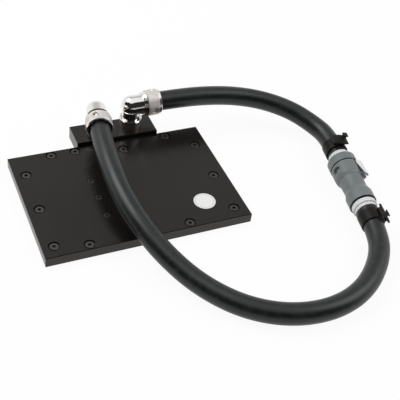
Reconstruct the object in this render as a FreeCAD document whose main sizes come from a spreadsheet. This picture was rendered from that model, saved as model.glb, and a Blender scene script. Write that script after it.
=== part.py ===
"""Liquid cooling cold plate with its hose loop, as a parametric FreeCAD document.

A flat aluminium plate holds a finned water chamber under a screwed cover. A manifold block along the back edge
carries two swivel elbows with compression collars. Two hoses run from them to a quick-disconnect coupling that
closes the loop. Millimetres, +Z up, origin at the centre of the plate's contact face, +Y towards the manifold.
"""
import FreeCAD, Part
import math
import os
import re
import Sketcher
from FreeCAD import Placement, Rotation, Vector

os.makedirs("parts", exist_ok=True)
doc = FreeCAD.newDocument("cold_plate")

SIZES = {
    # plate: a thick base with the water chamber, under a thin cover
    "plate_length": 160.0,
    "plate_width": 111.0,
    "base_thickness": 5.0,
    "cover_thickness": 3.2,
    "edge_chamfer": 0.4,
    # manifold block, machined in one piece with the base along its back edge
    "block_centre_x": 10.4,
    "block_length": 68.2,
    "block_depth": 22.6,
    "block_rise": 3.3,
    "cover_gap": 0.15,
    "port_centre_x": 10.75,
    "port_spacing": 29.5,
    "port_setback": 9.1,
    "port_radius": 6.35,
    # water chamber, its divider, its rib and its fins
    "floor_thickness": 1.4,
    "end_wall": 19.0,
    "front_wall": 14.5,
    "back_wall": 21.0,
    "chamber_corner": 5.0,
    "divider_width": 5.0,
    "divider_opening": 11.0,
    "rib_x": -25.6,
    "rib_width": 6.4,
    "rib_front_y": -32.0,
    "rib_back_y": 20.0,
    "fin_thickness": 1.0,
    "fin_pitch": 2.6,
    "fin_front_y": -30.0,
    "fin_back_y": 23.0,
    "fin_bank_margin": 2.2,
    "slot_width": 12.0,
    "slot_height": 1.8,
    # seal in its groove round the chamber
    "groove_margin": 2.0,
    "groove_width": 2.4,
    "groove_depth": 1.3,
    "seal_width": 1.9,
    # cover screws: low-head M4 in two side columns, two rows, and one between the ports
    "left_column_inset": 9.0,
    "right_column_inset": 10.5,
    "column_back_inset": 22.5,
    "column_middle_y": -6.1,
    "column_front_inset": 10.3,
    "back_row_inset": 5.1,
    "back_row_left_inset": 33.4,
    "back_row_inner_inset": 52.8,
    "back_row_right_inset": 30.2,
    "front_row_inset": 4.9,
    "front_row_left_inset": 33.3,
    "front_row_middle_x": -7.9,
    "front_row_right_inset": 49.2,
    "port_screw_inset": 12.3,
    "screw_radius": 2.0,
    "screw_clearance": 0.2,
    "screw_engagement": 2.9,
    "screw_hole_depth": 3.4,
    "screw_head_radius": 3.5,
    "screw_head_height": 1.7,
    "screw_hex": 2.5,
    "counterbore_radius": 4.4,
    "counterbore_depth": 2.0,
    # smaller screws that hold the cover down to the rib, on sealing washers
    "rib_screw_back_y": 13.7,
    "rib_screw_middle_y": -5.5,
    "rib_screw_front_y": -25.8,
    "rib_screw_radius": 1.5,
    "rib_screw_head_radius": 2.75,
    "rib_screw_head_height": 1.4,
    "rib_screw_hex": 2.0,
    "rib_counterbore_radius": 2.95,
    "washer_thickness": 0.4,
    # round label
    "label_right_inset": 29.8,
    "label_front_inset": 22.9,
    "label_radius": 8.5,
    "label_thickness": 0.5,
    # swivel elbow fittings, each on a port
    "ring_radius": 9.2,
    "ring_height": 7.8,
    "ring_chamfer": 0.6,
    "stem_length": 7.4,
    "thread_clearance": 0.05,
    "water_radius": 4.0,
    "socket_floor": 2.2,
    "swivel_clearance": 0.1,
    "port_seal_inner": 6.8,
    "port_seal_outer": 8.2,
    "port_seal_depth": 1.1,
    "elbow_height": 19.0,
    "neck_radius": 7.3,
    "arm_radius": 8.2,
    "arm_length": 9.0,
    "swivel_seal_height": 4.2,
    "swivel_seal_width": 1.4,
    "swivel_seal_depth": 0.9,
    "clip_height": 6.4,
    "clip_thickness": 0.6,
    "clip_depth": 0.5,
    "left_azimuth": -101.0,
    "right_azimuth": 0.0,
    # hose tail and compression collar on each elbow
    "stub_radius": 6.3,
    "stub_length": 4.5,
    "thread_radius": 9.7,
    "thread_depth": 0.6,
    "thread_pitch": 1.2,
    "hose_stop": 16.5,
    "tail_length": 11.0,
    "tail_water_radius": 3.6,
    "collar_start": 12.2,
    "collar_length": 11.4,
    "collar_radius": 10.6,
    "collar_clearance": 0.1,
    "collar_chamfer": 0.5,
    "dimple_radius": 3.6,
    "dimple_depth": 2.0,
    "left_dimple_angle": 20.0,
    "right_dimple_angle": 99.0,
    # hose
    "hose_radius": 8.0,
    "hose_bore_radius": 5.0,
    "barb_depth": 0.5,
    "hose_floor_gap": 0.3,
    # coupling: place of its back end, heading from -Y towards -X, and the roll of its latch above the level
    "coupling_x": 176.8,
    "coupling_y": -24.1,
    "coupling_floor_gap": 0.1,
    "coupling_heading": 9.85,
    "coupling_roll": 64.0,
    "coupling_fit": 0.1,
    "coupling_bore_radius": 4.2,
    "coupling_chamfer": 0.5,
    # coupling's socket half: back ring screwed into the shell, which holds the latch
    "back_ring_radius": 11.9,
    "back_ring_length": 8.3,
    "joint_groove_width": 0.6,
    "joint_groove_depth": 0.7,
    "spigot_radius": 9.5,
    "shell_radius": 11.6,
    "shell_shoulder": 18.6,
    "shell_bend": 20.8,
    "shell_bend_radius": 11.2,
    "shell_end": 23.4,
    "shell_end_radius": 10.0,
    "shell_flat": 10.2,
    "sight_turn": 111.0,
    "sight_z": 14.4,
    "sight_width": 7.5,
    "sight_length": 5.0,
    # coupling's plug half
    "nose_start": 9.0,
    "nose_radius": 7.2,
    "nose_seal_start": 10.4,
    "nose_seal_width": 1.5,
    "nose_seal_depth": 1.3,
    "valve_radius": 4.9,
    "valve_floor": 22.0,
    "plug_neck_radius": 9.8,
    "plug_waist_radius": 9.2,
    "flare_start": 35.5,
    "flare_full": 41.0,
    "flare_radius": 10.9,
    "coupling_length": 51.0,
    # barbed ends screwed into both halves
    "barb_thread_radius": 7.0,
    "barb_thread_length": 6.0,
    "barb_tail_length": 12.0,
    "back_flange_radius": 8.8,
    "back_flange_length": 5.5,
    "front_neck_radius": 8.3,
    "front_neck_length": 0.6,
    "front_flange_radius": 9.8,
    "front_flange_length": 3.8,
    "front_groove_width": 0.4,
    "front_lip_radius": 9.0,
    "front_lip_length": 2.5,
    # valves that the two halves push open
    "valve_meeting": 11.9,
    "valve_stem_radius": 1.2,
    "socket_valve_radius": 3.9,
    "socket_valve_back": 8.9,
    "socket_valve_thickness": 1.3,
    "plug_valve_radius": 4.4,
    "plug_valve_start": 14.2,
    "plug_valve_thickness": 1.6,
    "valve_wire_radius": 0.3,
    # latch across the coupling
    "latch_start": 14.0,
    "latch_thickness": 1.6,
    "latch_slack": 0.2,
    "latch_travel": 1.4,
    "latch_ring_radius": 9.3,
    "latch_ring_offset": 0.9,
    "latch_hole_radius": 7.7,
    "latch_hole_offset": 1.3,
    "latch_tail_width": 6.0,
    "latch_tail_reach": 11.3,
    "latch_neck_near": -1.0,
    "latch_neck_far": -4.8,
    "lock_groove_depth": 1.0,
    "thumb_rise": 11.7,
    "thumb_thickness": 1.1,
    "thumb_start": 9.3,
    "thumb_near": -0.3,
    "thumb_far": -7.6,
    "thumb_taper": 14.2,
    "thumb_end": 26.6,
    "thumb_corner": 1.4,
    "thumb_round": 0.4,
    "thumb_boss_floor": 7.4,
    "latch_spring_y": -4.6,
    "latch_spring_z": 18.5,
    "latch_spring_radius": 1.2,
    "latch_wire_radius": 0.25,
    "spring_pocket_radius": 1.7,
    "spring_pocket_depth": 1.2,
    "thumb_pocket_depth": 0.5,
    # ratchet clamps, one on each hose over its barb
    "clamp_thickness": 1.3,
    "clamp_width": 10.5,
    "clamp_fit": 0.02,
    "jaw_gap": 1.1,
    "jaw_thickness": 1.2,
    "jaw_half_length": 6.6,
    "jaw_post": 1.2,
    "tooth_height": 0.6,
    "tooth_count": 6,
    "hook_rise": 1.7,
    "hook_thickness": 1.1,
    "hook_half_length": 1.9,
    "hook_width": 4.5,
    "short_clamp_offset": 4.6,
    "short_clamp_angle": 83.0,
    "long_clamp_offset": 3.6,
    "long_clamp_angle": 33.0,
}

# places that follow from the sizes, so that screws, label and chamber keep their distance from the plate's edges
PLACES = {
    "chamber_length": "plate_length - 2 * end_wall",
    "chamber_front_y": "front_wall - plate_width / 2",
    "chamber_back_y": "plate_width / 2 - back_wall",
    "left_column_x": "left_column_inset - plate_length / 2",
    "right_column_x": "plate_length / 2 - right_column_inset",
    "column_back_y": "plate_width / 2 - column_back_inset",
    "column_front_y": "column_front_inset - plate_width / 2",
    "back_row_y": "plate_width / 2 - back_row_inset",
    "back_row_left_x": "back_row_left_inset - plate_length / 2",
    "back_row_inner_x": "back_row_inner_inset - plate_length / 2",
    "back_row_right_x": "plate_length / 2 - back_row_right_inset",
    "front_row_y": "front_row_inset - plate_width / 2",
    "front_row_left_x": "front_row_left_inset - plate_length / 2",
    "front_row_right_x": "plate_length / 2 - front_row_right_inset",
    "port_screw_y": "plate_width / 2 - port_screw_inset",
    "label_x": "plate_length / 2 - label_right_inset",
    "label_y": "label_front_inset - plate_width / 2",
}

sheet = doc.addObject("Spreadsheet::Sheet", "sizes")
cells = {**SIZES, **{alias: f"={formula}" for alias, formula in PLACES.items()}}
for row, (alias, amount) in enumerate(cells.items(), start=1):
    sheet.set(f"A{row}", alias)
    sheet.set(f"B{row}", str(amount))
    sheet.setAlias(f"B{row}", alias)
doc.recompute()


# ---- small helpers: formulas on the sheet, sketches and features ----

def bound(formula):
    """A formula with each size name pointed at the sheet."""
    words = re.compile(r"[a-z][a-z0-9_]*")
    return words.sub(lambda word: f"sizes.{word[0]}" if word[0] in cells else word[0], str(formula))


def number(formula):
    """The value of a formula on the sheet."""
    return float(sheet.evalExpression(bound(formula)))


def new_body(label):
    body = doc.addObject("PartDesign::Body", label)
    body.Label = label
    return body


def new_sketch(body, role="XY_Plane", lift="0", rise="0"):
    """A sketch on one of the body's own planes, moved along the plane's normal (lift) or up in it (rise)."""
    sketch = body.newObject("Sketcher::SketchObject", "sketch")
    plane = next(item for item in body.Origin.OriginFeatures if item.Role == role)
    sketch.AttachmentSupport = (plane, "")
    sketch.MapMode = "FlatFace"
    sketch.setExpression("AttachmentOffset.Base.z", bound(lift))
    sketch.setExpression("AttachmentOffset.Base.y", bound(rise))
    return sketch


def constrain(sketch, kind, *arguments):
    """Adds a constraint; the last argument of a dimension is a formula, and the constraint follows it."""
    if kind in ("DistanceX", "DistanceY", "Radius"):
        *where, formula = arguments
        index = sketch.addConstraint(Sketcher.Constraint(kind, *where, number(formula)))
        sketch.setExpression(f"Constraints[{index}]", bound(formula))
    else:
        sketch.addConstraint(Sketcher.Constraint(kind, *arguments))


def pin_point(sketch, geometry, point, x, y):
    constrain(sketch, "DistanceX", -1, 1, geometry, point, x)
    constrain(sketch, "DistanceY", -1, 1, geometry, point, y)


def draw_circle(sketch, x, y, radius):
    centre = Vector(number(x), number(y), 0)
    circle = sketch.addGeometry(Part.Circle(centre, Vector(0, 0, 1), number(radius)), False)
    pin_point(sketch, circle, 3, x, y)
    constrain(sketch, "Radius", circle, radius)


def draw_outline(sketch, corners):
    """A closed outline of straight lines through corners given as pairs of formulas."""
    spots = [Vector(number(x), number(y), 0) for x, y in corners]
    lines = [
        sketch.addGeometry(Part.LineSegment(spot, spots[(i + 1) % len(spots)]), False)
        for i, spot in enumerate(spots)
    ]
    for i, line in enumerate(lines):
        constrain(sketch, "Coincident", line, 2, lines[(i + 1) % len(lines)], 1)
        pin_point(sketch, line, 1, *corners[i])


def draw_rectangle(sketch, low_x, high_x, low_y, high_y):
    draw_outline(sketch, [(low_x, low_y), (high_x, low_y), (high_x, high_y), (low_x, high_y)])


def draw_rounded(sketch, low_x, high_x, low_y, high_y, corner):
    """A rectangle with round corners: four arcs pinned at their centres, joined by four lines."""
    centres = [
        (f"({high_x}) - ({corner})", f"({high_y}) - ({corner})"),
        (f"({low_x}) + ({corner})", f"({high_y}) - ({corner})"),
        (f"({low_x}) + ({corner})", f"({low_y}) + ({corner})"),
        (f"({high_x}) - ({corner})", f"({low_y}) + ({corner})"),
    ]
    arcs = []
    for turn, (x, y) in enumerate(centres):
        circle = Part.Circle(Vector(number(x), number(y), 0), Vector(0, 0, 1), number(corner))
        arc = sketch.addGeometry(Part.ArcOfCircle(circle, turn * math.pi / 2, (turn + 1) * math.pi / 2), False)
        pin_point(sketch, arc, 3, x, y)
        constrain(sketch, "Radius", arc, corner)
        constrain(sketch, "Horizontal" if turn % 2 == 0 else "Vertical", arc, 3, arc, 1)
        constrain(sketch, "Vertical" if turn % 2 == 0 else "Horizontal", arc, 3, arc, 2)
        arcs.append(arc)
    for i, arc in enumerate(arcs):
        following = arcs[(i + 1) % 4]
        start = sketch.getPoint(arc, 2)
        end = sketch.getPoint(following, 1)
        line = sketch.addGeometry(Part.LineSegment(start, end), False)
        constrain(sketch, "Coincident", arc, 2, line, 1)
        constrain(sketch, "Coincident", line, 2, following, 1)


def pad(body, sketch, length, down=False):
    feature = body.newObject("PartDesign::Pad", "pad")
    feature.Profile = sketch
    feature.setExpression("Length", bound(length))
    feature.Reversed = down
    doc.recompute()
    return feature


def pocket(body, sketch, depth, flip=False):
    """Cuts against the sketch's normal, or along it with flip, and stops if nothing was removed."""
    before = body.Shape.Volume
    feature = body.newObject("PartDesign::Pocket", "pocket")
    feature.Profile = sketch
    feature.setExpression("Length", bound(depth))
    feature.Reversed = flip
    doc.recompute()
    if body.Shape.Volume > before - 1e-6:
        raise RuntimeError(f"a pocket in {body.Label} removes nothing")
    return feature


def revolve(body, sketch, axis="V_Axis"):
    feature = body.newObject("PartDesign::Revolution", "revolution")
    feature.Profile = sketch
    feature.ReferenceAxis = (sketch, [axis])
    feature.Angle = 360
    doc.recompute()
    return feature


def groove(body, sketch, axis="V_Axis"):
    before = body.Shape.Volume
    feature = body.newObject("PartDesign::Groove", "groove")
    feature.Profile = sketch
    feature.ReferenceAxis = (sketch, [axis])
    feature.Angle = 360
    doc.recompute()
    if body.Shape.Volume > before - 1e-6:
        raise RuntimeError(f"a groove in {body.Label} removes nothing")
    return feature


def dress(body, kind, amount, wanted):
    """A chamfer or fillet on every edge for which wanted(edge) holds."""
    base = body.Tip
    names = [f"Edge{i}" for i, edge in enumerate(base.Shape.Edges, start=1) if wanted(edge)]
    feature = body.newObject(f"PartDesign::{kind}", kind.lower())
    feature.Base = (base, names)
    feature.setExpression("Size" if kind == "Chamfer" else "Radius", bound(amount))
    doc.recompute()
    return feature


def turned(label, corners):
    """A turned piece: an outline of (radius, height) pairs revolved about Z."""
    body = new_body(label)
    sketch = new_sketch(body, "XZ_Plane")
    draw_outline(sketch, corners)
    revolve(body, sketch)
    return body


def barbs(start, length):
    """Outline of a barbed tail as (place along it, radius) pairs: rings that each taper away from the start."""
    corners = []
    for ring in range(3):
        corners.append((f"{start} + {ring} * ({length}) / 3", "hose_bore_radius"))
        corners.append((f"{start} + {ring + 1} * ({length}) / 3", "hose_bore_radius - barb_depth"))
    return corners


# ---- plate: base with manifold block, cover, seal and screws ----

PLATE_TOP = "(base_thickness + cover_thickness)"
BLOCK_TOP = "(base_thickness + cover_thickness + block_rise)"
BLOCK_BACK = "(plate_width / 2 + block_depth)"
PORT_Y = f"({BLOCK_BACK} - port_setback)"
PORTS = {
    "left": ("port_centre_x - port_spacing / 2", "left_azimuth", "left_dimple_angle"),
    "right": ("port_centre_x + port_spacing / 2", "right_azimuth", "right_dimple_angle"),
}
COVER_SCREWS = [
    ("left_column_x", "column_back_y"),
    ("left_column_x", "column_middle_y"),
    ("left_column_x", "column_front_y"),
    ("right_column_x", "column_back_y"),
    ("right_column_x", "column_middle_y"),
    ("right_column_x", "column_front_y"),
    ("back_row_left_x", "back_row_y"),
    ("back_row_inner_x", "back_row_y"),
    ("back_row_right_x", "back_row_y"),
    ("front_row_left_x", "front_row_y"),
    ("front_row_middle_x", "front_row_y"),
    ("front_row_right_x", "front_row_y"),
    ("port_centre_x", "port_screw_y"),
]
RIB_SCREWS = [("rib_x", "rib_screw_back_y"), ("rib_x", "rib_screw_middle_y"), ("rib_x", "rib_screw_front_y")]


def is_outer_edge(edge, height):
    """A straight level edge at this height on the outline of the plate or block."""
    box = edge.BoundBox
    level = abs(box.ZMin - height) < 1e-4 and abs(box.ZMax - height) < 1e-4
    return level and edge.Curve.TypeId == "Part::GeomLine" and edge.Length > 20


def add_fins(body):
    """Three banks of straight fins, one on each side of the rib and one right of the divider."""
    half = "(chamber_length / 2)"
    banks = [
        (f"-{half} + fin_bank_margin", "rib_x - rib_width / 2 - fin_bank_margin"),
        ("rib_x + rib_width / 2 + fin_bank_margin", "port_centre_x - divider_width / 2 - fin_bank_margin"),
        ("port_centre_x + divider_width / 2 + fin_bank_margin", f"{half} - fin_bank_margin"),
    ]
    for start, end in banks:
        fins = math.floor((number(end) - number(start) - number("fin_thickness")) / number("fin_pitch")) + 1
        sketch = new_sketch(body, lift="floor_thickness")
        for fin in range(fins):
            left = f"{start} + {fin} * fin_pitch"
            draw_rectangle(sketch, left, f"{left} + fin_thickness", "fin_front_y", "fin_back_y")
        pad(body, sketch, "base_thickness - floor_thickness")


def base_plate():
    body = new_body("base_plate")
    sketch = new_sketch(body)
    draw_rectangle(sketch, "-plate_length / 2", "plate_length / 2", "-plate_width / 2", "plate_width / 2")
    pad(body, sketch, "base_thickness")
    sketch = new_sketch(body)
    left = "block_centre_x - block_length / 2"
    right = "block_centre_x + block_length / 2"
    draw_rectangle(sketch, left, right, "plate_width / 2", BLOCK_BACK)
    pad(body, sketch, BLOCK_TOP)
    dress(body, "Chamfer", "edge_chamfer", lambda edge: is_outer_edge(edge, number(BLOCK_TOP)))

    # chamber, less the divider between the ports and the rib under the small screws
    sketch = new_sketch(body, lift="base_thickness")
    draw_rounded(sketch, "-chamber_length / 2", "chamber_length / 2", "chamber_front_y", "chamber_back_y",
                 "chamber_corner")
    draw_rounded(sketch, "rib_x - rib_width / 2", "rib_x + rib_width / 2", "rib_front_y", "rib_back_y",
                 "rib_width / 2 - 0.2")
    pocket(body, sketch, "base_thickness - floor_thickness")
    sketch = new_sketch(body, lift="floor_thickness")
    draw_rectangle(sketch, "port_centre_x - divider_width / 2", "port_centre_x + divider_width / 2",
                   "chamber_front_y + divider_opening", "chamber_back_y")
    pad(body, sketch, "base_thickness - floor_thickness")
    add_fins(body)

    # groove for the seal
    sketch = new_sketch(body, lift="base_thickness")
    for margin in ("groove_margin", "groove_margin + groove_width"):
        draw_rounded(sketch, f"-chamber_length / 2 - ({margin})", f"chamber_length / 2 + ({margin})",
                     f"chamber_front_y - ({margin})", f"chamber_back_y + ({margin})",
                     f"chamber_corner + ({margin})")
    pocket(body, sketch, "groove_depth")

    # ports in the block, and the flat slots that lead from them into the chamber
    sketch = new_sketch(body, lift=BLOCK_TOP)
    for x, _, _ in PORTS.values():
        draw_circle(sketch, x, PORT_Y, "port_radius")
    pocket(body, sketch, f"{BLOCK_TOP} - floor_thickness")
    sketch = new_sketch(body, "XZ_Plane", lift="-chamber_back_y")
    for x, _, _ in PORTS.values():
        draw_rectangle(sketch, f"{x} - slot_width / 2", f"{x} + slot_width / 2", "floor_thickness",
                       "floor_thickness + slot_height")
    pocket(body, sketch, f"{PORT_Y} - chamber_back_y")

    # tapped holes for both kinds of screw
    for places, radius in ((COVER_SCREWS, "screw_radius"), (RIB_SCREWS, "rib_screw_radius")):
        sketch = new_sketch(body, lift="base_thickness")
        for x, y in places:
            draw_circle(sketch, x, y, radius)
        pocket(body, sketch, "screw_hole_depth")
    return body


def cover_plate():
    body = new_body("cover_plate")
    sketch = new_sketch(body, lift="base_thickness")
    draw_rectangle(sketch, "-plate_length / 2", "plate_length / 2", "-plate_width / 2", "plate_width / 2")
    pad(body, sketch, "cover_thickness")
    dress(body, "Chamfer", "edge_chamfer", lambda edge: is_outer_edge(edge, number(PLATE_TOP)))
    # a hair of clearance in front of the block, which stands higher than the cover
    sketch = new_sketch(body, lift=PLATE_TOP)
    draw_rectangle(sketch, "block_centre_x - block_length / 2 - cover_gap",
                   "block_centre_x + block_length / 2 + cover_gap", "plate_width / 2 - cover_gap",
                   "plate_width / 2 + cover_gap")
    pocket(body, sketch, "cover_thickness")
    kinds = [
        (COVER_SCREWS, "screw_radius + screw_clearance", "cover_thickness"),
        (RIB_SCREWS, "rib_screw_radius + screw_clearance", "cover_thickness"),
        (COVER_SCREWS, "counterbore_radius", "counterbore_depth"),
        (RIB_SCREWS, "rib_counterbore_radius", "counterbore_depth"),
    ]
    for places, radius, depth in kinds:
        sketch = new_sketch(body, lift=PLATE_TOP)
        for x, y in places:
            draw_circle(sketch, x, y, radius)
        pocket(body, sketch, depth)
    return body


def cover_seal():
    """The sealing cord in its groove, pressed flat between the groove's floor and the cover."""
    body = new_body("cover_seal")
    sketch = new_sketch(body, lift="base_thickness - groove_depth")
    centre = "groove_margin + groove_width / 2"
    for margin in (f"{centre} - seal_width / 2", f"{centre} + seal_width / 2"):
        draw_rounded(sketch, f"-chamber_length / 2 - ({margin})", f"chamber_length / 2 + ({margin})",
                     f"chamber_front_y - ({margin})", f"chamber_back_y + ({margin})",
                     f"chamber_corner + ({margin})")
    pad(body, sketch, "groove_depth")
    return body


def screw_group(label, places, seat, head_radius, head_height, shank_radius, tip, across_flats):
    """Socket screws: heads on a seat height, shanks down to the tip height, hexagonal sockets."""
    body = new_body(label)
    body.AllowCompound = True
    sketch = new_sketch(body, lift=seat)
    for x, y in places:
        draw_circle(sketch, x, y, head_radius)
    pad(body, sketch, head_height)
    top = number(f"{seat} + {head_height}")
    dress(body, "Chamfer", f"{head_height} / 6",
          lambda edge: edge.Curve.TypeId == "Part::GeomCircle" and abs(edge.BoundBox.ZMin - top) < 1e-4)
    sketch = new_sketch(body, lift=seat)
    for x, y in places:
        draw_circle(sketch, x, y, shank_radius)
    pad(body, sketch, f"{seat} - ({tip})", down=True)
    sketch = new_sketch(body, lift=f"{seat} + {head_height}")
    for x, y in places:
        corner = f"{across_flats} / 2 / cos(30)"
        draw_outline(sketch, [(f"{x} + {corner} * cos({60 * i})", f"{y} + {corner} * sin({60 * i})")
                              for i in range(6)])
    pocket(body, sketch, f"{head_height} * 0.7")
    return body


def rib_washers():
    body = new_body("rib_washers")
    body.AllowCompound = True
    sketch = new_sketch(body, lift=f"{PLATE_TOP} - counterbore_depth")
    for x, y in RIB_SCREWS:
        draw_circle(sketch, x, y, "rib_screw_head_radius")
        draw_circle(sketch, x, y, "rib_screw_radius + screw_clearance / 2")
    pad(body, sketch, "washer_thickness")
    return body


def round_label():
    body = new_body("round_label")
    sketch = new_sketch(body, lift=PLATE_TOP)
    draw_circle(sketch, "label_x", "label_y", "label_radius")
    pad(body, sketch, "label_thickness")
    return body


# ---- swivel elbow fittings: drawn on the port's axis with the arm along +X, then placed ----

def swivel_ring(label):
    """Base ring with the threaded stem that screws into the port and the socket in which the elbow turns."""
    stem = "port_radius - thread_clearance"
    socket = "neck_radius + swivel_clearance"
    clip = f"{socket} + clip_depth"
    return turned(label, [
        ("water_radius", "-stem_length"),
        (stem, "-stem_length"),
        (stem, "0"),
        ("port_seal_inner", "0"),
        ("port_seal_inner", "port_seal_depth"),
        ("port_seal_outer", "port_seal_depth"),
        ("port_seal_outer", "0"),
        ("ring_radius", "0"),
        ("ring_radius", "ring_height - ring_chamfer"),
        ("ring_radius - ring_chamfer", "ring_height"),
        (socket, "ring_height"),
        (socket, "clip_height + clip_thickness"),
        (clip, "clip_height + clip_thickness"),
        (clip, "clip_height"),
        (socket, "clip_height"),
        (socket, "socket_floor"),
        ("water_radius", "socket_floor"),
    ])


def port_seal(label):
    return turned(label, [
        ("port_seal_inner", "0"),
        ("port_seal_outer", "0"),
        ("port_seal_outer", "port_seal_depth"),
        ("port_seal_inner", "port_seal_depth"),
    ])


def swivel_seal(label):
    inner = "neck_radius - swivel_seal_depth"
    outer = "neck_radius + swivel_clearance"
    return turned(label, [
        (inner, "swivel_seal_height"),
        (outer, "swivel_seal_height"),
        (outer, "swivel_seal_height + swivel_seal_width"),
        (inner, "swivel_seal_height + swivel_seal_width"),
    ])


def retaining_clip(label):
    """Open wire ring that keeps the elbow in its socket, with a gap to spring it in by."""
    inner = "neck_radius - clip_depth"
    outer = "neck_radius + swivel_clearance + clip_depth"
    body = turned(label, [
        (inner, "clip_height"),
        (outer, "clip_height"),
        (outer, "clip_height + clip_thickness"),
        (inner, "clip_height + clip_thickness"),
    ])
    sketch = new_sketch(body, lift="clip_height + clip_thickness")
    draw_rectangle(sketch, f"-({outer}) * 1.2", "0", "-neck_radius / 5", "neck_radius / 5")
    pocket(body, sketch, "clip_thickness")
    return body


def elbow(label):
    """Neck about Z and arm about X, joined by a ball, then bored through both ways."""
    body = new_body(label)
    sketch = new_sketch(body, "XZ_Plane")
    foot = "socket_floor + swivel_clearance"
    draw_outline(sketch, [
        ("0", foot),
        ("neck_radius", foot),
        ("neck_radius", "swivel_seal_height"),
        ("neck_radius - swivel_seal_depth", "swivel_seal_height"),
        ("neck_radius - swivel_seal_depth", "swivel_seal_height + swivel_seal_width"),
        ("neck_radius", "swivel_seal_height + swivel_seal_width"),
        ("neck_radius", "clip_height"),
        ("neck_radius - clip_depth", "clip_height"),
        ("neck_radius - clip_depth", "clip_height + clip_thickness"),
        ("neck_radius", "clip_height + clip_thickness"),
        ("neck_radius", "elbow_height"),
        ("0", "elbow_height"),
    ])
    revolve(body, sketch)

    # arm with its ball end, turned about the level axis through the elbow's centre
    sketch = new_sketch(body, "XZ_Plane", rise="elbow_height")
    radius = number("arm_radius")
    ball = sketch.addGeometry(
        Part.ArcOfCircle(Part.Circle(Vector(0, 0, 0), Vector(0, 0, 1), radius), math.pi / 2, math.pi), False)
    top = sketch.addGeometry(
        Part.LineSegment(Vector(0, radius, 0), Vector(number("arm_length"), radius, 0)), False)
    face = sketch.addGeometry(
        Part.LineSegment(Vector(number("arm_length"), radius, 0), Vector(number("arm_length"), 0, 0)), False)
    axis = sketch.addGeometry(
        Part.LineSegment(Vector(number("arm_length"), 0, 0), Vector(-radius, 0, 0)), False)
    constrain(sketch, "Coincident", ball, 3, -1, 1)
    constrain(sketch, "Coincident", ball, 1, top, 1)
    constrain(sketch, "Coincident", top, 2, face, 1)
    constrain(sketch, "Coincident", face, 2, axis, 1)
    constrain(sketch, "Coincident", axis, 2, ball, 2)
    pin_point(sketch, top, 1, "0", "arm_radius")
    pin_point(sketch, face, 1, "arm_length", "arm_radius")
    pin_point(sketch, axis, 1, "arm_length", "0")
    constrain(sketch, "PointOnObject", ball, 2, -1)
    revolve(body, sketch, "H_Axis")

    # waterway: up the neck, along the arm, and the tapped end for the hose tail
    sketch = new_sketch(body, lift=foot)
    draw_circle(sketch, "0", "0", "water_radius")
    pocket(body, sketch, f"elbow_height + water_radius - ({foot})", flip=True)
    for bore, reach in (("tail_water_radius", "arm_length"), ("stub_radius", "stub_length")):
        sketch = new_sketch(body, "YZ_Plane", lift="arm_length", rise="elbow_height")
        draw_circle(sketch, "0", "0", bore)
        pocket(body, sketch, reach)
    return body


def hose_tail(label, water):
    """Screwed stub, threaded shoulder for the collar, and a barbed tail inside the hose, about the arm's axis."""
    body = new_body(label)
    sketch = new_sketch(body, "XZ_Plane", rise="elbow_height")
    ridges = []
    count = math.floor(number("(hose_stop - arm_length) / thread_pitch"))
    for ridge in range(count):
        start = f"arm_length + {ridge} * thread_pitch"
        ridges.append((start, "thread_radius - thread_depth"))
        ridges.append((f"{start} + thread_pitch / 2", "thread_radius"))
    draw_outline(sketch, [
        ("arm_length - stub_length", water),
        ("arm_length - stub_length", "stub_radius"),
        ("arm_length", "stub_radius"),
        *ridges,
        ("hose_stop", "thread_radius - thread_depth"),
        *barbs("hose_stop", "tail_length"),
        ("hose_stop + tail_length", water),
    ])
    revolve(body, sketch, "H_Axis")
    return body


def collar(label, dimple_angle):
    """Compression collar: screws over the shoulder and grips the hose, with three round dimples to turn it by."""
    body = new_body(label)
    sketch = new_sketch(body, "XZ_Plane", rise="elbow_height")
    end = "collar_start + collar_length"
    draw_outline(sketch, [
        ("collar_start", "thread_radius + collar_clearance"),
        ("collar_start", "collar_radius - collar_chamfer"),
        ("collar_start + collar_chamfer", "collar_radius"),
        (f"{end} - collar_chamfer", "collar_radius"),
        (end, "collar_radius - collar_chamfer"),
        (end, "hose_radius + collar_clearance + collar_chamfer * 2"),
        (f"{end} - collar_chamfer * 3", "hose_radius + collar_clearance"),
        ("hose_stop", "hose_radius + collar_clearance"),
        ("hose_stop", "thread_radius + collar_clearance"),
    ])
    revolve(body, sketch, "H_Axis")
    # the dimples are balls sunk into the rim, turned about the arm's axis
    for dimple in range(3):
        turn = number(dimple_angle) + 120 * dimple
        reach = number("collar_radius + dimple_radius - dimple_depth")
        middle = Vector(number("collar_start + collar_length / 2"), -reach * math.sin(math.radians(turn)),
                        number("elbow_height") + reach * math.cos(math.radians(turn)))
        ball = body.newObject("PartDesign::SubtractiveSphere", "dimple")
        ball.setExpression("Radius", bound("dimple_radius"))
        ball.Placement = Placement(middle, Rotation())
        doc.recompute()
    return body


def fitting(side):
    """All pieces of one elbow fitting, placed on its port."""
    x, azimuth, dimple_angle = PORTS[side]
    pieces = [
        swivel_ring(f"{side}_swivel_ring"),
        port_seal(f"{side}_port_seal"),
        swivel_seal(f"{side}_swivel_seal"),
        retaining_clip(f"{side}_retaining_clip"),
        elbow(f"{side}_elbow"),
        hose_tail(f"{side}_hose_tail", "tail_water_radius"),
        collar(f"{side}_collar", dimple_angle),
    ]
    place = Placement(Vector(number(x), number(PORT_Y), number(BLOCK_TOP)),
                      Rotation(Vector(0, 0, 1), number(azimuth)))
    for piece in pieces:
        piece.Placement = place
    return pieces, place


# ---- coupling: drawn about Z from its back end at zero, with the latch along +X, then laid on the floor ----

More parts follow.
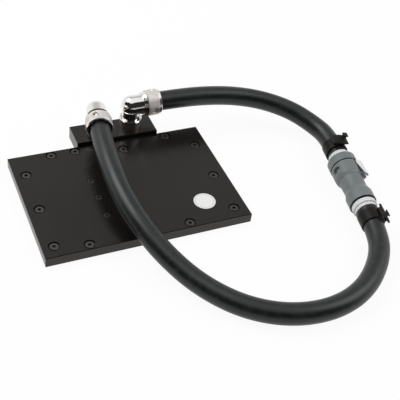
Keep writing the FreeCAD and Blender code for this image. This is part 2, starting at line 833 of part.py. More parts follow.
SHELL_START = "(back_ring_length + joint_groove_width)"
LATCH_BACK = "(latch_start - latch_slack)"
LATCH_FRONT = "(latch_start + latch_thickness + latch_slack)"
NOSE_FLOOR = "(nose_start - 3 * coupling_fit)"
FRONT_HOSE_STOP = ("(coupling_length + front_neck_length + front_flange_length + front_groove_width"
                   " + front_lip_length)")


def back_ring():
    """Back end of the socket half: tapped for the barb, with a spigot that closes the latch's slot."""
    tapped = "barb_thread_radius + thread_clearance"
    bore = "nose_radius + coupling_fit"
    return turned("back_ring", [
        (tapped, "0"),
        ("back_ring_radius - coupling_chamfer", "0"),
        ("back_ring_radius", "coupling_chamfer"),
        ("back_ring_radius", "back_ring_length - coupling_chamfer / 2"),
        ("back_ring_radius - coupling_chamfer / 2", "back_ring_length"),
        ("back_ring_radius - joint_groove_depth", "back_ring_length"),
        ("back_ring_radius - joint_groove_depth", SHELL_START),
        ("spigot_radius", SHELL_START),
        ("spigot_radius", LATCH_BACK),
        (bore, LATCH_BACK),
        (bore, NOSE_FLOOR),
        ("coupling_bore_radius", NOSE_FLOOR),
        ("coupling_bore_radius", "barb_thread_length"),
        (tapped, "barb_thread_length"),
    ])


def thumb_outline(inset):
    """Outline of the thumb pad, or of the boss under it: wide at the joint, and tapered to a blunt tip."""
    near, far = f"(thumb_near - {inset})", f"(thumb_far + {inset})"
    return [
        (f"{far} + thumb_corner", "thumb_start"),
        (f"{near} - thumb_corner", "thumb_start"),
        (near, "thumb_start + thumb_corner"),
        (near, "thumb_taper"),
        (f"{far} + thumb_corner * 1.5", f"thumb_end - {inset} - thumb_corner / 3"),
        (f"{far} + thumb_corner", f"thumb_end - {inset}"),
        (far, f"thumb_end - {inset} - thumb_corner / 3"),
        (far, "thumb_start + thumb_corner"),
    ]


def socket_shell():
    """Front of the socket half, with the latch's slide, its windows and the boss under the thumb pad."""
    body = turned("socket_shell", [
        ("spigot_radius + coupling_fit", SHELL_START),
        ("shell_radius - coupling_chamfer / 2", SHELL_START),
        ("shell_radius", f"{SHELL_START} + coupling_chamfer / 2"),
        ("shell_radius", "shell_shoulder"),
        ("shell_bend_radius", "shell_bend"),
        ("shell_end_radius", "shell_end"),
        ("nose_radius + coupling_fit", "shell_end"),
        ("nose_radius + coupling_fit", LATCH_FRONT),
        ("spigot_radius + coupling_fit", LATCH_FRONT),
    ])
    # boss that carries the shelf on past the shell's end, bored out again for the plug's neck
    sketch = new_sketch(body, "YZ_Plane", lift="thumb_boss_floor")
    draw_outline(sketch, thumb_outline("latch_slack"))
    pad(body, sketch, "shell_flat - thumb_boss_floor")
    for bore, start, end in (("spigot_radius + coupling_fit", SHELL_START, LATCH_FRONT),
                             ("plug_neck_radius + 2 * coupling_fit", "shell_end", "thumb_end")):
        sketch = new_sketch(body, lift=end)
        draw_circle(sketch, "0", "0", bore)
        pocket(body, sketch, f"{end} - {start}")
    # slide for the latch's ring: as wide as the ring, and longer by the travel
    slot_radius = "latch_ring_radius + latch_slack"
    for shift in ("latch_ring_offset + latch_slack / 2", "latch_ring_offset - latch_travel - latch_slack / 2"):
        sketch = new_sketch(body, lift=LATCH_FRONT)
        draw_circle(sketch, shift, "0", slot_radius)
        pocket(body, sketch, f"{LATCH_FRONT} - {LATCH_BACK}")
    # openings: the thumb side's runs out at the back so that the latch slides in; the tail's is closed
    near, far = "(latch_neck_near + latch_slack)", "(latch_neck_far - latch_slack)"
    sketch = new_sketch(body, lift=LATCH_FRONT)
    draw_rectangle(sketch, "0", "shell_radius + 1", far, near)
    pocket(body, sketch, f"{LATCH_FRONT} - {SHELL_START}")
    sketch = new_sketch(body, lift=LATCH_FRONT)
    half = "(latch_tail_width / 2 + latch_slack)"
    draw_rectangle(sketch, "-shell_radius - 1", "0", f"-{half}", half)
    pocket(body, sketch, f"{LATCH_FRONT} - {LATCH_BACK}")
    # shelf under the thumb pad, and the seat of the latch's spring in it
    sketch = new_sketch(body, lift="shell_end")
    draw_rectangle(sketch, "shell_flat", "shell_radius + 1", "-shell_radius", "thumb_near + 2 * latch_slack")
    pocket(body, sketch, f"shell_end - {SHELL_START}")
    sketch = new_sketch(body, "YZ_Plane", lift="shell_flat")
    draw_circle(sketch, "latch_spring_y", "latch_spring_z", "spring_pocket_radius")
    pocket(body, sketch, "spring_pocket_depth")
    # oval window at the side, through which the latch's ring shows
    sketch = new_sketch(body, "YZ_Plane")
    turn, reach = math.radians(number("sight_turn")), number("spigot_radius")
    sketch.AttachmentOffset = Placement(Vector(reach * math.sin(turn), 0, reach * math.cos(turn)),
                                        Rotation(Vector(0, 1, 0), number("sight_turn")))
    draw_rounded(sketch, "-sight_width / 2", "sight_width / 2", "sight_z - sight_length / 2",
                 "sight_z + sight_length / 2", "sight_length / 2 - 0.1")
    pocket(body, sketch, "shell_radius", flip=True)
    return body


def plug():
    """Plug half: sealed nose with the groove that the latch drops into, waisted body, tapped for its barb."""
    groove_floor = "nose_radius - lock_groove_depth"
    seal_floor = "nose_radius - nose_seal_depth"
    tapped = "barb_thread_radius + thread_clearance"
    return turned("plug", [
        ("valve_radius", "nose_start"),
        ("nose_radius - coupling_chamfer", "nose_start"),
        ("nose_radius", "nose_start + coupling_chamfer"),
        ("nose_radius", "nose_seal_start"),
        (seal_floor, "nose_seal_start"),
        (seal_floor, "nose_seal_start + nose_seal_width"),
        ("nose_radius", "nose_seal_start + nose_seal_width"),
        ("nose_radius", "latch_start - 2 * latch_slack"),
        (groove_floor, "latch_start - 2 * latch_slack"),
        (groove_floor, "latch_start + latch_thickness + 2 * latch_slack"),
        ("nose_radius", "latch_start + latch_thickness + 2 * latch_slack"),
        ("nose_radius", "shell_end"),
        ("plug_neck_radius", "shell_end"),
        ("plug_waist_radius", "flare_start"),
        ("flare_radius", "flare_full"),
        ("flare_radius", "coupling_length - coupling_chamfer"),
        ("flare_radius - coupling_chamfer", "coupling_length"),
        (tapped, "coupling_length"),
        (tapped, "coupling_length - barb_thread_length"),
        ("coupling_bore_radius", "coupling_length - barb_thread_length"),
        ("coupling_bore_radius", "valve_floor + 1"),
        ("tail_water_radius", "valve_floor + 1"),
        ("tail_water_radius", "valve_floor"),
        ("valve_radius", "valve_floor"),
    ])


def back_barb():
    tip = "-back_flange_length - barb_tail_length"
    return turned("back_barb", [
        ("tail_water_radius", "barb_thread_length"),
        ("barb_thread_radius", "barb_thread_length"),
        ("barb_thread_radius", "0"),
        ("back_flange_radius", "0"),
        ("back_flange_radius", "-back_flange_length"),
        *[(radius, place) for place, radius in barbs("-back_flange_length", "-barb_tail_length")],
        ("tail_water_radius", tip),
    ])


def front_barb():
    rim = "coupling_length + front_neck_length"
    lip = f"{rim} + front_flange_length"
    return turned("front_barb", [
        ("tail_water_radius", "coupling_length - barb_thread_length"),
        ("barb_thread_radius", "coupling_length - barb_thread_length"),
        ("barb_thread_radius", "coupling_length"),
        ("front_neck_radius", "coupling_length"),
        ("front_neck_radius", rim),
        ("front_flange_radius", rim),
        ("front_flange_radius", lip),
        ("front_neck_radius", lip),
        ("front_neck_radius", f"{lip} + front_groove_width"),
        ("front_lip_radius", f"{lip} + front_groove_width"),
        ("front_lip_radius", FRONT_HOSE_STOP),
        *[(radius, place) for place, radius in barbs(FRONT_HOSE_STOP, "barb_tail_length")],
        ("tail_water_radius", f"{FRONT_HOSE_STOP} + barb_tail_length"),
    ])


def nose_seal():
    inner = "nose_radius - nose_seal_depth"
    outer = "nose_radius + coupling_fit"
    end = "nose_seal_start + nose_seal_width"
    return turned("nose_seal", [(inner, "nose_seal_start"), (outer, "nose_seal_start"), (outer, end), (inner, end)])


def socket_valve():
    front = "socket_valve_back + socket_valve_thickness"
    return turned("socket_valve", [
        ("0", "socket_valve_back"),
        ("socket_valve_radius", "socket_valve_back"),
        ("socket_valve_radius", f"{front} - coupling_chamfer"),
        ("valve_stem_radius", front),
        ("valve_stem_radius", "valve_meeting"),
        ("0", "valve_meeting"),
    ])


def plug_valve():
    back = "plug_valve_start + plug_valve_thickness"
    return turned("plug_valve", [
        ("0", "valve_meeting"),
        ("valve_stem_radius", "valve_meeting"),
        ("valve_stem_radius", "plug_valve_start"),
        ("plug_valve_radius", "plug_valve_start + coupling_chamfer"),
        ("plug_valve_radius", back),
        ("0", back),
    ])


def spring(label, start, end, coil_radius, wire_radius):
    """Compression spring between two heights, kept plain: a sleeve as thick as its wire."""
    inner = f"({coil_radius}) - ({wire_radius})"
    outer = f"({coil_radius}) + ({wire_radius})"
    return turned(label, [(inner, start), (outer, start), (outer, end), (inner, end)])


def release_latch():
    """One sprung piece: a ring round the nose, a tail opposite, and a thumb pad on a neck."""
    body = new_body("release_latch")
    sketch = new_sketch(body, lift="latch_start")
    draw_circle(sketch, "latch_ring_offset", "0", "latch_ring_radius")
    draw_circle(sketch, "latch_hole_offset", "0", "latch_hole_radius")
    pad(body, sketch, "latch_thickness")
    hole_edge = "(latch_hole_offset + latch_hole_radius + 0.1)"
    arms = [
        ("-latch_tail_reach", "latch_hole_offset - latch_hole_radius - 0.6", "-latch_tail_width / 2",
         "latch_tail_width / 2"),
        (hole_edge, "thumb_rise + thumb_thickness / 3", "latch_neck_far", "latch_neck_near"),
    ]
    for inner, outer, far, near in arms:
        sketch = new_sketch(body, lift="latch_start")
        draw_rectangle(sketch, inner, outer, far, near)
        pad(body, sketch, "latch_thickness")
    sketch = new_sketch(body, "YZ_Plane", lift="thumb_rise")
    draw_outline(sketch, thumb_outline("0"))
    pad(body, sketch, "thumb_thickness")
    top = number("thumb_rise + thumb_thickness")
    dress(body, "Fillet", "thumb_round",
          lambda edge: edge.BoundBox.XMax > top - 1e-4 and edge.BoundBox.XMin > number("thumb_rise") - 1e-4)
    sketch = new_sketch(body, "YZ_Plane", lift="thumb_rise")
    draw_circle(sketch, "latch_spring_y", "latch_spring_z", "spring_pocket_radius")
    pocket(body, sketch, "thumb_pocket_depth", flip=True)
    return body


def ratchet_clamp(label, edge, angle):
    """Nylon band round the hose; its toothed jaw lies flat on two posts and ends in the hook that draws it shut."""
    body = new_body(label)
    inner = "(hose_radius + clamp_fit)"
    outer = f"({inner} + clamp_thickness)"
    sketch = new_sketch(body, lift=edge)
    draw_circle(sketch, "0", "0", outer)
    draw_circle(sketch, "0", "0", inner)
    pad(body, sketch, "clamp_width")

    def turned_out(spots):
        """Corners given along the jaw and out from the hose's axis, turned round to the clamp's angle."""
        return [(f"({out}) * cos({angle}) - ({along}) * sin({angle})",
                 f"({out}) * sin({angle}) + ({along}) * cos({angle})") for along, out in spots]

    under = f"({outer} + jaw_gap)"
    top = f"({under} + jaw_thickness)"
    teeth = int(number("tooth_count"))
    blade = [("jaw_half_length", under), ("-jaw_half_length", under)]
    for tooth in range(teeth):
        start = f"-jaw_half_length + 2 * jaw_half_length * {tooth} / {teeth}"
        blade.append((start, top))
        blade.append((f"{start} + 1.6 * jaw_half_length / {teeth}", f"{top} + tooth_height"))
    blade.append(("jaw_half_length", top))
    blocks = [blade]
    for side in ("-1", "1"):
        foot = f"({side} * jaw_half_length / 2.4)"
        blocks.append([(f"{foot} - jaw_post / 2", f"{inner} + clamp_thickness / 3"),
                       (f"{foot} + jaw_post / 2", f"{inner} + clamp_thickness / 3"),
                       (f"{foot} + jaw_post / 2", f"{under} + jaw_thickness / 2"),
                       (f"{foot} - jaw_post / 2", f"{under} + jaw_thickness / 2")])
    for spots in blocks:
        sketch = new_sketch(body, lift=edge)
        draw_outline(sketch, turned_out(spots))
        pad(body, sketch, "clamp_width")
    # hook near the jaw's lower end: a stem with a bar across its top
    stem = "(hook_thickness - jaw_half_length)"
    head = f"({top} + hook_rise)"
    sketch = new_sketch(body, lift=edge)
    draw_outline(sketch, turned_out([
        (f"{stem} - hook_thickness / 2", f"{top} - jaw_thickness / 2"),
        (f"{stem} + hook_thickness / 2", f"{top} - jaw_thickness / 2"),
        (f"{stem} + hook_thickness / 2", head),
        (f"{stem} + hook_half_length", head),
        (f"{stem} + hook_half_length", f"{head} + hook_thickness"),
        (f"{stem} - hook_half_length", f"{head} + hook_thickness"),
        (f"{stem} - hook_half_length", head),
        (f"{stem} - hook_thickness / 2", head),
    ]))
    pad(body, sketch, "hook_width")
    return body


def coupling():
    """All pieces of the coupling and the clamps, placed so that the back ring and the flare lie on the floor."""
    pieces = [
        back_ring(),
        socket_shell(),
        plug(),
        back_barb(),
        front_barb(),
        nose_seal(),
        socket_valve(),
        plug_valve(),
        spring("socket_valve_spring", "barb_thread_length", "socket_valve_back",
               "socket_valve_radius - valve_wire_radius", "valve_wire_radius"),
        spring("plug_valve_spring", "plug_valve_start + plug_valve_thickness", "valve_floor",
               "plug_valve_radius - valve_wire_radius", "valve_wire_radius"),
        release_latch(),
    ]
    # the latch's spring is drawn as short as a fully pressed pad leaves it
    spring_length = ("thumb_rise + thumb_pocket_depth - latch_travel - latch_slack / 2"
                     " - (shell_flat - spring_pocket_depth)")
    latch_spring = spring("latch_spring", "0", spring_length, "latch_spring_radius", "latch_wire_radius")
    slope = "(back_ring_radius - flare_radius) / (coupling_length - back_ring_length)"
    tilt = number(f"asin({slope})")
    spot = Vector(number("coupling_x"), number("coupling_y"),
                  number(f"back_ring_radius + back_ring_length * {slope} + coupling_floor_gap"))
    lie = Rotation(Vector(0, 0, 1), -number("coupling_heading")) * Rotation(Vector(1, 0, 0), 90 + tilt)
    roll = Rotation(Vector(0, 0, 1), number("coupling_roll"))
    place = Placement(spot, lie)
    for piece in pieces:
        piece.Placement = Placement(spot, lie * roll)
    seat = Vector(number("shell_flat - spring_pocket_depth"), number("latch_spring_y"), number("latch_spring_z"))
    latch_spring.Placement = Placement(spot, lie * roll) * Placement(seat, Rotation(Vector(0, 1, 0), 90))
    clamps = [
        ratchet_clamp("short_hose_clamp", "-back_flange_length - short_clamp_offset - clamp_width",
                      "short_clamp_angle"),
        ratchet_clamp("long_hose_clamp", f"{FRONT_HOSE_STOP} + long_clamp_offset", "long_clamp_angle"),
    ]
    for clamp in clamps:
        clamp.Placement = place
    return pieces + [latch_spring] + clamps, place


# ---- hoses: straight runs joined by tangent arcs, from collar to coupling ----

def hose(label, points):
    """A tube whose route turns at each point by an arc as large as the two runs beside it allow."""
    outward = [(b - a).normalize() for a, b in zip(points, points[1:])]
    runs = [(b - a).Length for a, b in zip(points, points[1:])]
    edges = []
    radii = []
    here = points[0]
    for i in range(1, len(points) - 1):
        before, after = outward[i - 1], outward[i]
        turn = before.getAngle(after)
        reach = 0.45 * min(runs[i - 1], runs[i])
        radius = reach / math.tan(turn / 2)
        start = points[i] - before * reach
        end = points[i] + after * reach
        inward = (after - before).normalize()
        centre = points[i] + inward * (radius / math.cos(turn / 2))
        edges.append(Part.LineSegment(here, start).toShape())
        edges.append(Part.Arc(start, centre - inward * radius, end).toShape())
        radii.append(round(radius))
        here = end
    edges.append(Part.LineSegment(here, points[-1]).toShape())
    path = Part.Wire(edges)
    rims = [Part.Wire(Part.makeCircle(number(radius), points[0], outward[0]))
            for radius in ("hose_radius", "hose_bore_radius")]
    section = Part.makeFace(rims, "Part::FaceMakerBullseye")
    tube = path.makePipe(section)
    if tube.ShapeType != "Solid":
        tube = tube.Solids[0]
    print(f"{label}: length {path.Length:.1f}, radii {radii}, runs {[round(run) for run in runs]}, "
          f"volume over section times length {tube.Volume / (section.Area * path.Length):.5f}")
    piece = doc.addObject("Part::Feature", label)
    piece.Label = label
    piece.Shape = tube
    return piece


def hoses(fitting_places, coupling_place):
    stop = Vector(number("hose_stop"), 0, number("elbow_height"))
    along = coupling_place.Rotation.multVec(Vector(0, 0, 1))
    back = coupling_place.multVec(Vector(0, 0, -number("back_flange_length")))
    front = coupling_place.multVec(Vector(0, 0, number(FRONT_HOSE_STOP)))
    low = number("hose_radius + hose_floor_gap")

    def start_run(side, length):
        place = fitting_places[side]
        return [place.multVec(stop), place.multVec(stop + Vector(length, 0, 0))]

    short_hose = hose("short_hose", [
        *start_run("right", 24),
        Vector(92, 68, 29.5),
        Vector(118, 65.5, 26.5),
        Vector(142.5, 58.5, 22.5),
        Vector(164, 44.5, 18),
        Vector(177.2, 25.2, 14),
        back - along * 25.5,
        back,
    ])
    long_hose = hose("long_hose", [
        *start_run("left", 27.5),
        Vector(-15.4, -19.5, 27),
        Vector(-11.5, -52, 21.7),
        Vector(-1.5, -81, 13.8),
        Vector(14, -110.5, low),
        Vector(35.5, -138, low),
        Vector(64, -154, low),
        Vector(96, -157.5, low),
        Vector(126, -148, low),
        Vector(151, -126.5, low),
        front + along * 24,
        front,
    ])
    return [short_hose, long_hose]


# ---- the whole object ----

pieces = [
    base_plate(),
    cover_plate(),
    cover_seal(),
    screw_group("cover_screws", COVER_SCREWS, f"{PLATE_TOP} - counterbore_depth", "screw_head_radius",
                "screw_head_height", "screw_radius - thread_clearance", "base_thickness - screw_engagement",
                "screw_hex"),
    screw_group("rib_screws", RIB_SCREWS, f"{PLATE_TOP} - counterbore_depth + washer_thickness",
                "rib_screw_head_radius", "rib_screw_head_height", "rib_screw_radius - thread_clearance",
                "base_thickness - screw_engagement", "rib_screw_hex"),
    rib_washers(),
    round_label(),
]
fitting_places = {}
for side in PORTS:
    added, fitting_places[side] = fitting(side)
    pieces += added
added, coupling_place = coupling()
pieces += added
pieces += hoses(fitting_places, coupling_place)

doc.recompute()
for item in doc.Objects:
    if "Invalid" in item.State or "Error" in item.State:
        raise RuntimeError(f"{item.Label} failed: {item.State}")
for piece in pieces:
    if piece.Shape.isNull() or not piece.Shape.isValid():
        raise RuntimeError(f"{piece.Label} has no valid shape")
for piece in pieces:
    piece.Shape.exportStep(f"parts/{piece.Label}.step")
    print(f"{piece.Label}: {len(piece.Shape.Solids)} solids, {piece.Shape.Volume:.1f} mm3")
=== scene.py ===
"""Looks of a liquid cooling cold plate.

A black anodised plate with chromed swivel elbows, and a loop of rubber hose that a grey coupling closes. The
pieces follow one another as the object is put together. Metres, +Z up, origin under the plate's centre.
"""
import math

import bpy
from mathutils import Matrix, Vector


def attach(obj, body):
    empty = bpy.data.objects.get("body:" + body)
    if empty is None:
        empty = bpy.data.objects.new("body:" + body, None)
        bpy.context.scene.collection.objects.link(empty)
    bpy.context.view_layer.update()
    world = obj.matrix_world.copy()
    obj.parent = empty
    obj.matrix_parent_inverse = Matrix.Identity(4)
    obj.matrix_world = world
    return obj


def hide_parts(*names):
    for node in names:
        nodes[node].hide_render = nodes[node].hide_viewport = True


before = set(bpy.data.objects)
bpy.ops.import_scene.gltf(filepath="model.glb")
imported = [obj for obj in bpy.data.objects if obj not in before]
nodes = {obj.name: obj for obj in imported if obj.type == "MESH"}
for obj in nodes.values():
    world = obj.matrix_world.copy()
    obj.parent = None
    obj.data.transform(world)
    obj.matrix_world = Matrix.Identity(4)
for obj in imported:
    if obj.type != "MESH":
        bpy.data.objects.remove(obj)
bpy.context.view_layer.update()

# ---------------------------------------------------------------------------------------------------------------
# Base plate with its manifold block, and the cover screwed on it. Both are milled from aluminium plate, fly-cut
# on their flat faces and anodised a satin black. The machining leaves a faint lengthwise grain under the colour.
# ---------------------------------------------------------------------------------------------------------------
mm = 0.001


class Wire:
    """A shader socket that adds Math nodes when it is used in a sum, product or comparison."""

    def __init__(self, shading, socket):
        self.shading, self.socket = shading, socket

    def _maths(self, operation, first, second=0.0):
        return self.shading.node("ShaderNodeMath", {0: first, 1: second}, operation=operation)

    def __add__(self, other):
        return self._maths("ADD", self, other)

    def __radd__(self, other):
        return self._maths("ADD", other, self)

    def __sub__(self, other):
        return self._maths("SUBTRACT", self, other)

    def __rsub__(self, other):
        return self._maths("SUBTRACT", other, self)

    def __mul__(self, other):
        return self._maths("MULTIPLY", self, other)

    def __rmul__(self, other):
        return self._maths("MULTIPLY", other, self)

    def __gt__(self, other):
        return self._maths("GREATER_THAN", self, other)

    def __lt__(self, other):
        return self._maths("LESS_THAN", self, other)

    def root(self):
        return self._maths("POWER", self, 0.5)

    def wave(self):
        return self._maths("SINE", self)

    def size(self):
        return self._maths("ABSOLUTE", self)

    def least(self, other):
        return self._maths("MINIMUM", self, other)

    def most(self, other):
        return self._maths("MAXIMUM", self, other)

    def ramp(self, low, high, at_low=0.0, at_high=1.0):
        """Eases from at_low to at_high while the socket runs from low to high."""
        span = {"Value": self, "From Min": low, "From Max": high, "To Min": at_low, "To Max": at_high}
        return self.shading.node("ShaderNodeMapRange", span, interpolation_type="SMOOTHSTEP")


class Shading:
    """A node tree that is filled node by node."""

    def __init__(self, tree):
        self.tree = tree

    def node(self, kind, inputs, output=0, **settings):
        made = self.tree.nodes.new(kind)
        for name, value in settings.items():
            setattr(made, name, value)
        for name, value in inputs.items():
            self.feed(made.inputs[name], value)
        return Wire(self, made.outputs[output])

    def feed(self, socket, value):
        """Links a wire to a socket, or sets the socket to a number, a place or a colour."""
        if isinstance(value, Wire):
            self.tree.links.new(value.socket, socket)
        elif socket.type == "RGBA":
            socket.default_value = (*value, 1)
        else:
            socket.default_value = value

    def split(self, where):
        """The three coordinates of a place, each as a wire."""
        return [self.node("ShaderNodeSeparateXYZ", {0: where}, output=axis) for axis in range(3)]


class Finish(Shading):
    """A material with one Principled shader."""

    def __init__(self, name, **constants):
        self.material = bpy.data.materials.new(name)
        self.material.use_nodes = True
        super().__init__(self.material.node_tree)
        self.shader = self.tree.nodes["Principled BSDF"]
        for socket, value in constants.items():
            self.set(socket.replace("_", " ").title().replace("Ior", "IOR"), value)

    def set(self, socket, value):
        self.feed(self.shader.inputs[socket], value)

    def place(self, turn=0.0, move=(0, 0, 0), scale=(1, 1, 1)):
        """Object coordinates, moved to a piece's own centre, turned about Z and scaled."""
        here = self.node("ShaderNodeTexCoord", {}, output="Object")
        shifted = self.node("ShaderNodeVectorMath", {0: here, 1: move}, operation="SUBTRACT")
        return self.node("ShaderNodeMapping", {"Vector": shifted, "Rotation": (0, 0, turn), "Scale": scale})

    def noise(self, where, scale, detail=3.0, roughness=0.5):
        return self.node("ShaderNodeTexNoise",
                         {"Vector": where, "Scale": scale, "Detail": detail, "Roughness": roughness})

    def between(self, low, high, share):
        """A colour part of the way from low to high."""
        first_colour, second_colour, mixed_colour = 6, 7, 2
        return self.node("ShaderNodeMix", {0: share, first_colour: low, second_colour: high},
                         output=mixed_colour, data_type="RGBA")

    def dent(self, height, distance, strength):
        bump = self.node("ShaderNodeBump", {"Height": height, "Distance": distance, "Strength": strength})
        self.set("Normal", bump)

    def paint(self, *names):
        for name in names:
            for slot in nodes[name].material_slots:
                slot.material = self.material


anodised = Finish("black_anodised", specular_ior_level=0.43, specular_tint=(1.0, 0.95, 0.88))
grain = anodised.noise(anodised.place(scale=(60, 1400, 1400)), 1.0, detail=2.0)
cloud = anodised.noise(anodised.place(), 26.0)
etch = anodised.noise(anodised.place(), 1600.0, detail=2.0)
anodised.set("Base Color", anodised.between((0.002, 0.0018, 0.0015), (0.0095, 0.0088, 0.0078),
                                            cloud * 0.4 + etch * 0.6))
anodised.set("Roughness", 0.19 + grain * 0.03 + cloud * 0.08)
anodised.dent(grain, distance=0.002 * mm, strength=0.25)
anodised.paint("base_plate", "cover_plate")

# ---------------------------------------------------------------------------------------------------------------
# Screws, washers and seals. The cover's socket screws are black oxide steel with a thin film of oil, a bit more
# glossy than the plate round them. The rubber seals of cover, elbows and coupling lie hidden in their grooves.
# ---------------------------------------------------------------------------------------------------------------
oxide = Finish("black_oxide_steel", metallic=1.0)
wear = oxide.noise(oxide.place(), 900.0, detail=4.0)
oxide.set("Base Color", oxide.between((0.045, 0.043, 0.041), (0.12, 0.116, 0.11), wear))
oxide.set("Roughness", 0.26 + wear * 0.16)
oxide.paint("cover_screws", "rib_screws", "rib_washers")

seal_rubber = Finish("seal_rubber", base_color=(0.014, 0.014, 0.014), specular_ior_level=0.35)
seal_rubber.set("Roughness", 0.5 + seal_rubber.noise(seal_rubber.place(), 700.0) * 0.2)
seal_rubber.paint("cover_seal", "nose_seal", "left_port_seal", "right_port_seal", "left_swivel_seal",
                  "right_swivel_seal")

# ---------------------------------------------------------------------------------------------------------------
# Round label near the cover's front right corner: a white plastic disc stuck on, blank but for the ring that is
# pressed in along its edge. The pressed ring is painted grey, a painted shade in its groove.
# ---------------------------------------------------------------------------------------------------------------
label_centre = (0.0502, -0.0326, 0)
pressed_ring_radius = 7.3 * mm
pressed_ring_width = 0.35 * mm

label_white = Finish("label_white", specular_ior_level=0.4)
fibre = label_white.noise(label_white.place(), 1800.0)
across, along, _ = label_white.split(label_white.place(move=label_centre))
radius = (across * across + along * along).root()
pressed = 1 - (radius - pressed_ring_radius).size().ramp(0.0, pressed_ring_width)
film = label_white.between((0.84, 0.845, 0.83), (0.91, 0.915, 0.9), fibre)
# The pressed ring is painted grey: a painted shade in the groove.
label_white.set("Base Color", label_white.between(film, (0.5, 0.5, 0.5), pressed))
label_white.set("Roughness", 0.42 + fibre * 0.15)
label_white.dent(1 - pressed, distance=0.1 * mm, strength=0.5)
label_white.paint("round_label")

# ---------------------------------------------------------------------------------------------------------------
# Swivel elbows with their base rings and hose tails. The elbows and tails are brass, turned and bored, then
# polished and chromed. The rings are polished on top; their turned wall is painted a dark brown, a painted
# reflection of the black block they stand on. Spring steel clips hold the elbows down inside, and the
# coupling's springs are of the same wire.
# ---------------------------------------------------------------------------------------------------------------
chrome = Finish("polished_chrome", metallic=1.0)
smear = chrome.noise(chrome.place(), 160.0, detail=4.0)
chrome.set("Base Color", chrome.between((0.76, 0.745, 0.72), (0.88, 0.87, 0.85), smear))
chrome.set("Roughness", 0.04 + smear * 0.06)
chrome.paint("left_elbow", "right_elbow", "left_hose_tail", "right_hose_tail")

wall_top = 18.1 * mm
polish_start = 18.5 * mm
turned_nickel = Finish("turned_nickel", metallic=1.0)
tool_marks = turned_nickel.noise(turned_nickel.place(scale=(120, 120, 2600)), 1.0, detail=2.0)
stain = turned_nickel.noise(turned_nickel.place(), 300.0, detail=4.0)
polished = turned_nickel.split(turned_nickel.place())[2].ramp(wall_top, polish_start)
# The wall's dark brown is a painted reflection of the black block; the stain noise varies it at random.
wall = turned_nickel.between((0.3, 0.245, 0.205), (0.6, 0.52, 0.455), stain)
turned_nickel.set("Base Color", turned_nickel.between(wall, (0.88, 0.87, 0.85), polished))
turned_nickel.set("Roughness", (0.3 + stain * 0.16) * (1 - polished) + polished * 0.07)
turned_nickel.dent(tool_marks, distance=0.01 * mm, strength=0.4)
turned_nickel.paint("left_swivel_ring", "right_swivel_ring")

spring_steel = Finish("spring_steel", metallic=1.0, base_color=(0.5, 0.5, 0.5))
spring_steel.set("Roughness", 0.28 + spring_steel.noise(spring_steel.place(), 800.0) * 0.15)
spring_steel.paint("left_retaining_clip", "right_retaining_clip", "latch_spring", "socket_valve_spring",
                   "plug_valve_spring")

# ---------------------------------------------------------------------------------------------------------------
# Compression collars: brass with a fine diamond knurl rolled into the outside and a plain rim at the hose's end,
# then nickel plated, which leaves them warmer and duller than the chrome. The knurl follows each collar's axis.
# ---------------------------------------------------------------------------------------------------------------
elbow_height = 30.5 * mm
elbows = {"left": (Vector((-0.004, 0.069, elbow_height)), math.radians(-101)),
          "right": (Vector((0.0255, 0.069, elbow_height)), 0.0)}
collar_radius = 10.6 * mm
knurl_lines = 30
knurl_end = 21.2 * mm
rim_start = 21.6 * mm

for side, (centre, azimuth) in elbows.items():
    nickel = Finish(f"{side}_satin_nickel")
    along, across, height = nickel.split(nickel.place(turn=-azimuth, move=tuple(centre)))
    angle = nickel.node("ShaderNodeMath", {0: across, 1: height}, operation="ARCTAN2") * knurl_lines
    climb = along * (knurl_lines / collar_radius)
    rim = along.ramp(knurl_end, rim_start)
    knurl = (angle + climb).wave().size().least((angle - climb).wave().size()).ramp(0.0, 0.55).most(rim)
    tarnish = nickel.noise(nickel.place(), 240.0, detail=4.0)
    dulled = tarnish * (1 - rim)
    # The knurl's grooves are painted dark, a painted shade in them, on top of the bump's relief.
    knurl_painted_shade = nickel.between((0.3, 0.272, 0.252), (0.86, 0.815, 0.78), knurl)
    nickel.set("Base Color", nickel.between(knurl_painted_shade, (0.72, 0.68, 0.65), dulled * 0.5))
    nickel.set("Metallic", 1 - dulled * 0.7)
    nickel.set("Roughness", 0.34 + tarnish * 0.14 - rim * 0.2)
    nickel.dent(knurl, distance=0.14 * mm, strength=0.6)
    nickel.paint(f"{side}_collar")

# ---------------------------------------------------------------------------------------------------------------
# Hoses: black rubber tube, 16 mm outside, cured in cloth that leaves a dull skin. The short one runs from the
# right collar to the back of the coupling, the long one from the left collar round the front to its plug.
# ---------------------------------------------------------------------------------------------------------------
hose_radius = 8 * mm
hose_stop = 16.5 * mm
floor_line = 8.3 * mm
left_centre, left_azimuth = elbows["left"]
right_centre, _ = elbows["right"]
left_away = Vector((math.cos(left_azimuth), math.sin(left_azimuth), 0))
left_start = left_centre + left_away * hose_stop
right_start = right_centre + Vector((hose_stop, 0, 0))
coupling_back = Vector((0.17774, -0.01868, 0.01232))
coupling_front = Vector((0.16683, -0.08153, 0.01083))
coupling_line = (coupling_front - coupling_back).normalized()

hose_rubber = Finish("hose_rubber", specular_ior_level=0.45, specular_tint=(0.96, 0.98, 0.99))
skin = hose_rubber.noise(hose_rubber.place(), 1300.0, detail=4.0, roughness=0.6)
haze = hose_rubber.noise(hose_rubber.place(), 45.0)
bloom = hose_rubber.noise(hose_rubber.place(), 190.0, detail=5.0, roughness=0.65).ramp(0.42, 0.7)
hose_rubber.set("Base Color", hose_rubber.between((0.0035, 0.0036, 0.0036), (0.0165, 0.018, 0.0188),
                                                  bloom * 0.45 + haze * 0.2 + skin * 0.25))
hose_rubber.set("Roughness", 0.25 + skin * 0.16 + bloom * 0.08 + haze * 0.04)
hose_rubber.dent(skin, distance=0.05 * mm, strength=0.7)

